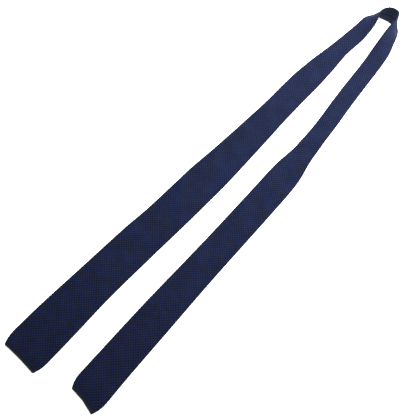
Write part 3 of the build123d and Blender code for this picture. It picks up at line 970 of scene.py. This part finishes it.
def make_tag(name, node, leg, body, height, span, band, material):
    obj = new_object(name, tag_mesh(name, leg, height, span - TAG_TRIM, band - TAG_TRIM))
    obj.data.materials.append(material)
    solid = obj.modifiers.new("woven thickness", "SOLIDIFY")
    solid.thickness, solid.offset = TAG_THICKNESS * MM, 0.0
    rim = obj.modifiers.new("turned edge", "BEVEL")
    rim.width, rim.segments, rim.limit_method = 0.08 * MM, 2, "ANGLE"
    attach(obj, body)
    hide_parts(node)
    centre = leg_row(leg, height)["middle"]
    points = []
    for x in (-1, 1):
        for y in (-1, 1):
            place = centre + Vector((x * (span / 2 - CORNER_INSET), y * (band / 2 - CORNER_INSET), 0))
            place.z = CORNER_UP
            lies = Vector((1, 0.1 * x, 0))
            points += [(place + Vector((0, d, 0)), lies, Vector((0, 0, -1))) for d in CORNER_PAIR]
    obj = stitch_row(f"{name}_corner_threads", points, Length=2.4, Thickness=0.3, Bow=0.05)
    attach(obj, body)
    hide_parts(f"{node}_stitches")


dark_satin = woven_material("blank black satin label", "14161c", "474c5c")
pale_satin = woven_material("blank white satin tag", "d9d8d2", "b9b8b2")
make_tag("blank_label", "maker_label", FRONT, "front_tip", LABEL_HEIGHT, LABEL_SPAN, LABEL_BAND, dark_satin)
make_tag("blank_care_tag", "care_tag", TAIL, "tail_tip", CARE_HEIGHT, CARE_SPAN, CARE_BAND, pale_satin)


# %% [markdown]
# ## Inside the neck: stay tape
# A twill tape inside the neck keeps the knit from stretching. It crosses both swings, so it is two
# lengths that meet at the middle of the loop, each left unbent like the cloth round it.

# %% Stay tape
# Unbleached cotton is matt and cream, and its twill shows as slanting lines.
tape_cloth, tree, principled = new_material("natural cotton twill tape", Roughness=0.9, Sheen_Weight=0.1)
place, around, along = cloth_place(tree)
twill = wave(tree, calc(tree, "ADD", around, along), 0.8)
lit = blend_colours(tree, calc(tree, "ADD", calc(tree, "MULTIPLY", twill, 0.5), 0.5), "a39c8c", "cbc5b6")
tree.links.new(lit, principled.inputs["Base Color"])
add_bump(tree, principled, twill, 0.06)

TAPE_INSET, TAPE_WIDTH = 12.0, 12.0
TAPE_GRID, TAPE_COLUMNS = 2.0, 8
TAPE_TACK_INSET, TAPE_TACK_STITCHES = 1.6, 9
TAPE = {"thick": 0.5, "relief": 0.0, "reach": 0.3, "hollow": 0.0, "seam": False}
TAPES = {
    "front_tape": (NECK_START + TAPE_INSET, cuts[4], "front_neck", "front_swing"),
    "tail_tape": (cuts[4], NECK_END - TAPE_INSET, "loop", "tail_swing"),
}
TAPE_NODES = {
    "front_tape": ["front_neck_stay_tape", "loop_stay_tape"],
    "tail_tape": ["tail_neck_stay_tape"],
}
for name, (start, finish, body, joint) in TAPES.items():
    rows = [{**row, "width": TAPE_WIDTH} for row in rows_over(start, finish, TAPE_GRID)]
    obj = new_object(name, tube_mesh(name, rows, TAPE_COLUMNS, TAPE))
    obj.data.materials.append(tape_cloth)
    bend_at(obj, body, joint)
    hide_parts(*TAPE_NODES[name])

for side, body, run in (
    ("front", "front_neck", NECK_START + TAPE_INSET + TAPE_TACK_INSET),
    ("tail", "tail_neck", NECK_END - TAPE_INSET - TAPE_TACK_INSET),
):
    row = row_at(run)
    points = []
    for i in range(TAPE_TACK_STITCHES):
        place = row["middle"] - row["face"] * 0.4 + row["across"] * (i - TAPE_TACK_STITCHES // 2)
        points.append((place, row["ahead"], -row["face"]))
    obj = stitch_row(f"{side}_tape_threads", points, Length=1.5, Thickness=0.25, Bow=0.05)
    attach(obj, body)
    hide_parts(f"{side}_tape_tack")
print("shown CAD nodes:", [n for n, node in frame["nodes"].items() if not node.hide_render])


# %% [markdown]
# ## Floor, light and camera
# A plain white floor takes a soft light from above the neck, so the square ends are the darkest part.
# A weak, narrow light from the other side reaches into the loop. The camera looks down at seventy
# degrees from the tail's side, turned so that the V runs from corner to corner of the frame.

# %% Floor, light and camera
FLOOR_HALF = 4.0
floor_corners = [(x * FLOOR_HALF, y * FLOOR_HALF, 0) for x, y in ((-1, -1), (1, -1), (1, 1), (-1, 1))]
floor_mesh = bpy.data.meshes.new("floor")
floor_mesh.from_pydata(floor_corners, [], [(0, 1, 2, 3)])
floor = new_object("floor", floor_mesh)
paper, tree, principled = new_material("white paper", Roughness=0.9, Specular_IOR_Level=0.1)
grain = add_node(tree, "ShaderNodeTexNoise", {"Scale": 60.0, "Detail": 2.0})
place = add_node(tree, "ShaderNodeTexCoord").outputs["Object"]
tree.links.new(place, grain.inputs["Vector"])
tree.links.new(blend_colours(tree, grain.outputs[0], "f7f7f7", "fafafa"), principled.inputs["Base Color"])
principled.inputs["Emission Color"].default_value = (1, 1, 1, 1)
principled.inputs["Emission Strength"].default_value = 0.75  # as a light table, so shadows stay pale
floor.data.materials.append(paper)

world = bpy.data.worlds.new("studio")
world.use_nodes = True
bpy.context.scene.world = world
background = next(node for node in world.node_tree.nodes if node.type == "BACKGROUND")
background.inputs["Color"].default_value = (1, 1, 1, 1)
background.inputs["Strength"].default_value = 0.07
bpy.context.scene.view_settings.view_transform = "Standard"


def add_light(name, place, target, size, watts, spread=180):
    light = bpy.data.lights.new(name, "AREA")
    light.spread = math.radians(spread)  # 180 degrees shines every way in front of it
    light.shape, light.size, light.energy = "SQUARE", size, watts
    obj = bpy.data.objects.new(name, light)
    bpy.context.scene.collection.objects.link(obj)
    obj.location = place
    obj.rotation_euler = (Vector(target) - Vector(place)).to_track_quat("-Z", "Y").to_euler()


add_light("softbox", (0.1, 0.65, 0.85), (0, 0.3, 0), 0.7, 31)
add_light("loop_fill", (0.0, -0.5, 0.8), (0, 0.34, 0), 0.6, 1.3, spread=60)

camera = bpy.data.objects.new("camera", bpy.data.cameras.new("camera"))
bpy.context.scene.collection.objects.link(camera)
camera.location = (0.1480, -0.2276, 0.6134)
look = Vector((-0.22575, 0.25694, -0.93969))
camera.rotation_euler = look.to_track_quat("-Z", "Y").to_euler()
camera.data.lens, camera.data.sensor_width = 43.27, 36.0
camera.data.clip_start = 0.01
bpy.context.scene.camera = camera
bpy.context.view_layer.update()
print("camera right and up:", [tuple(round(v, 3) for v in camera.matrix_world.col[i][:3]) for i in (0, 1)])
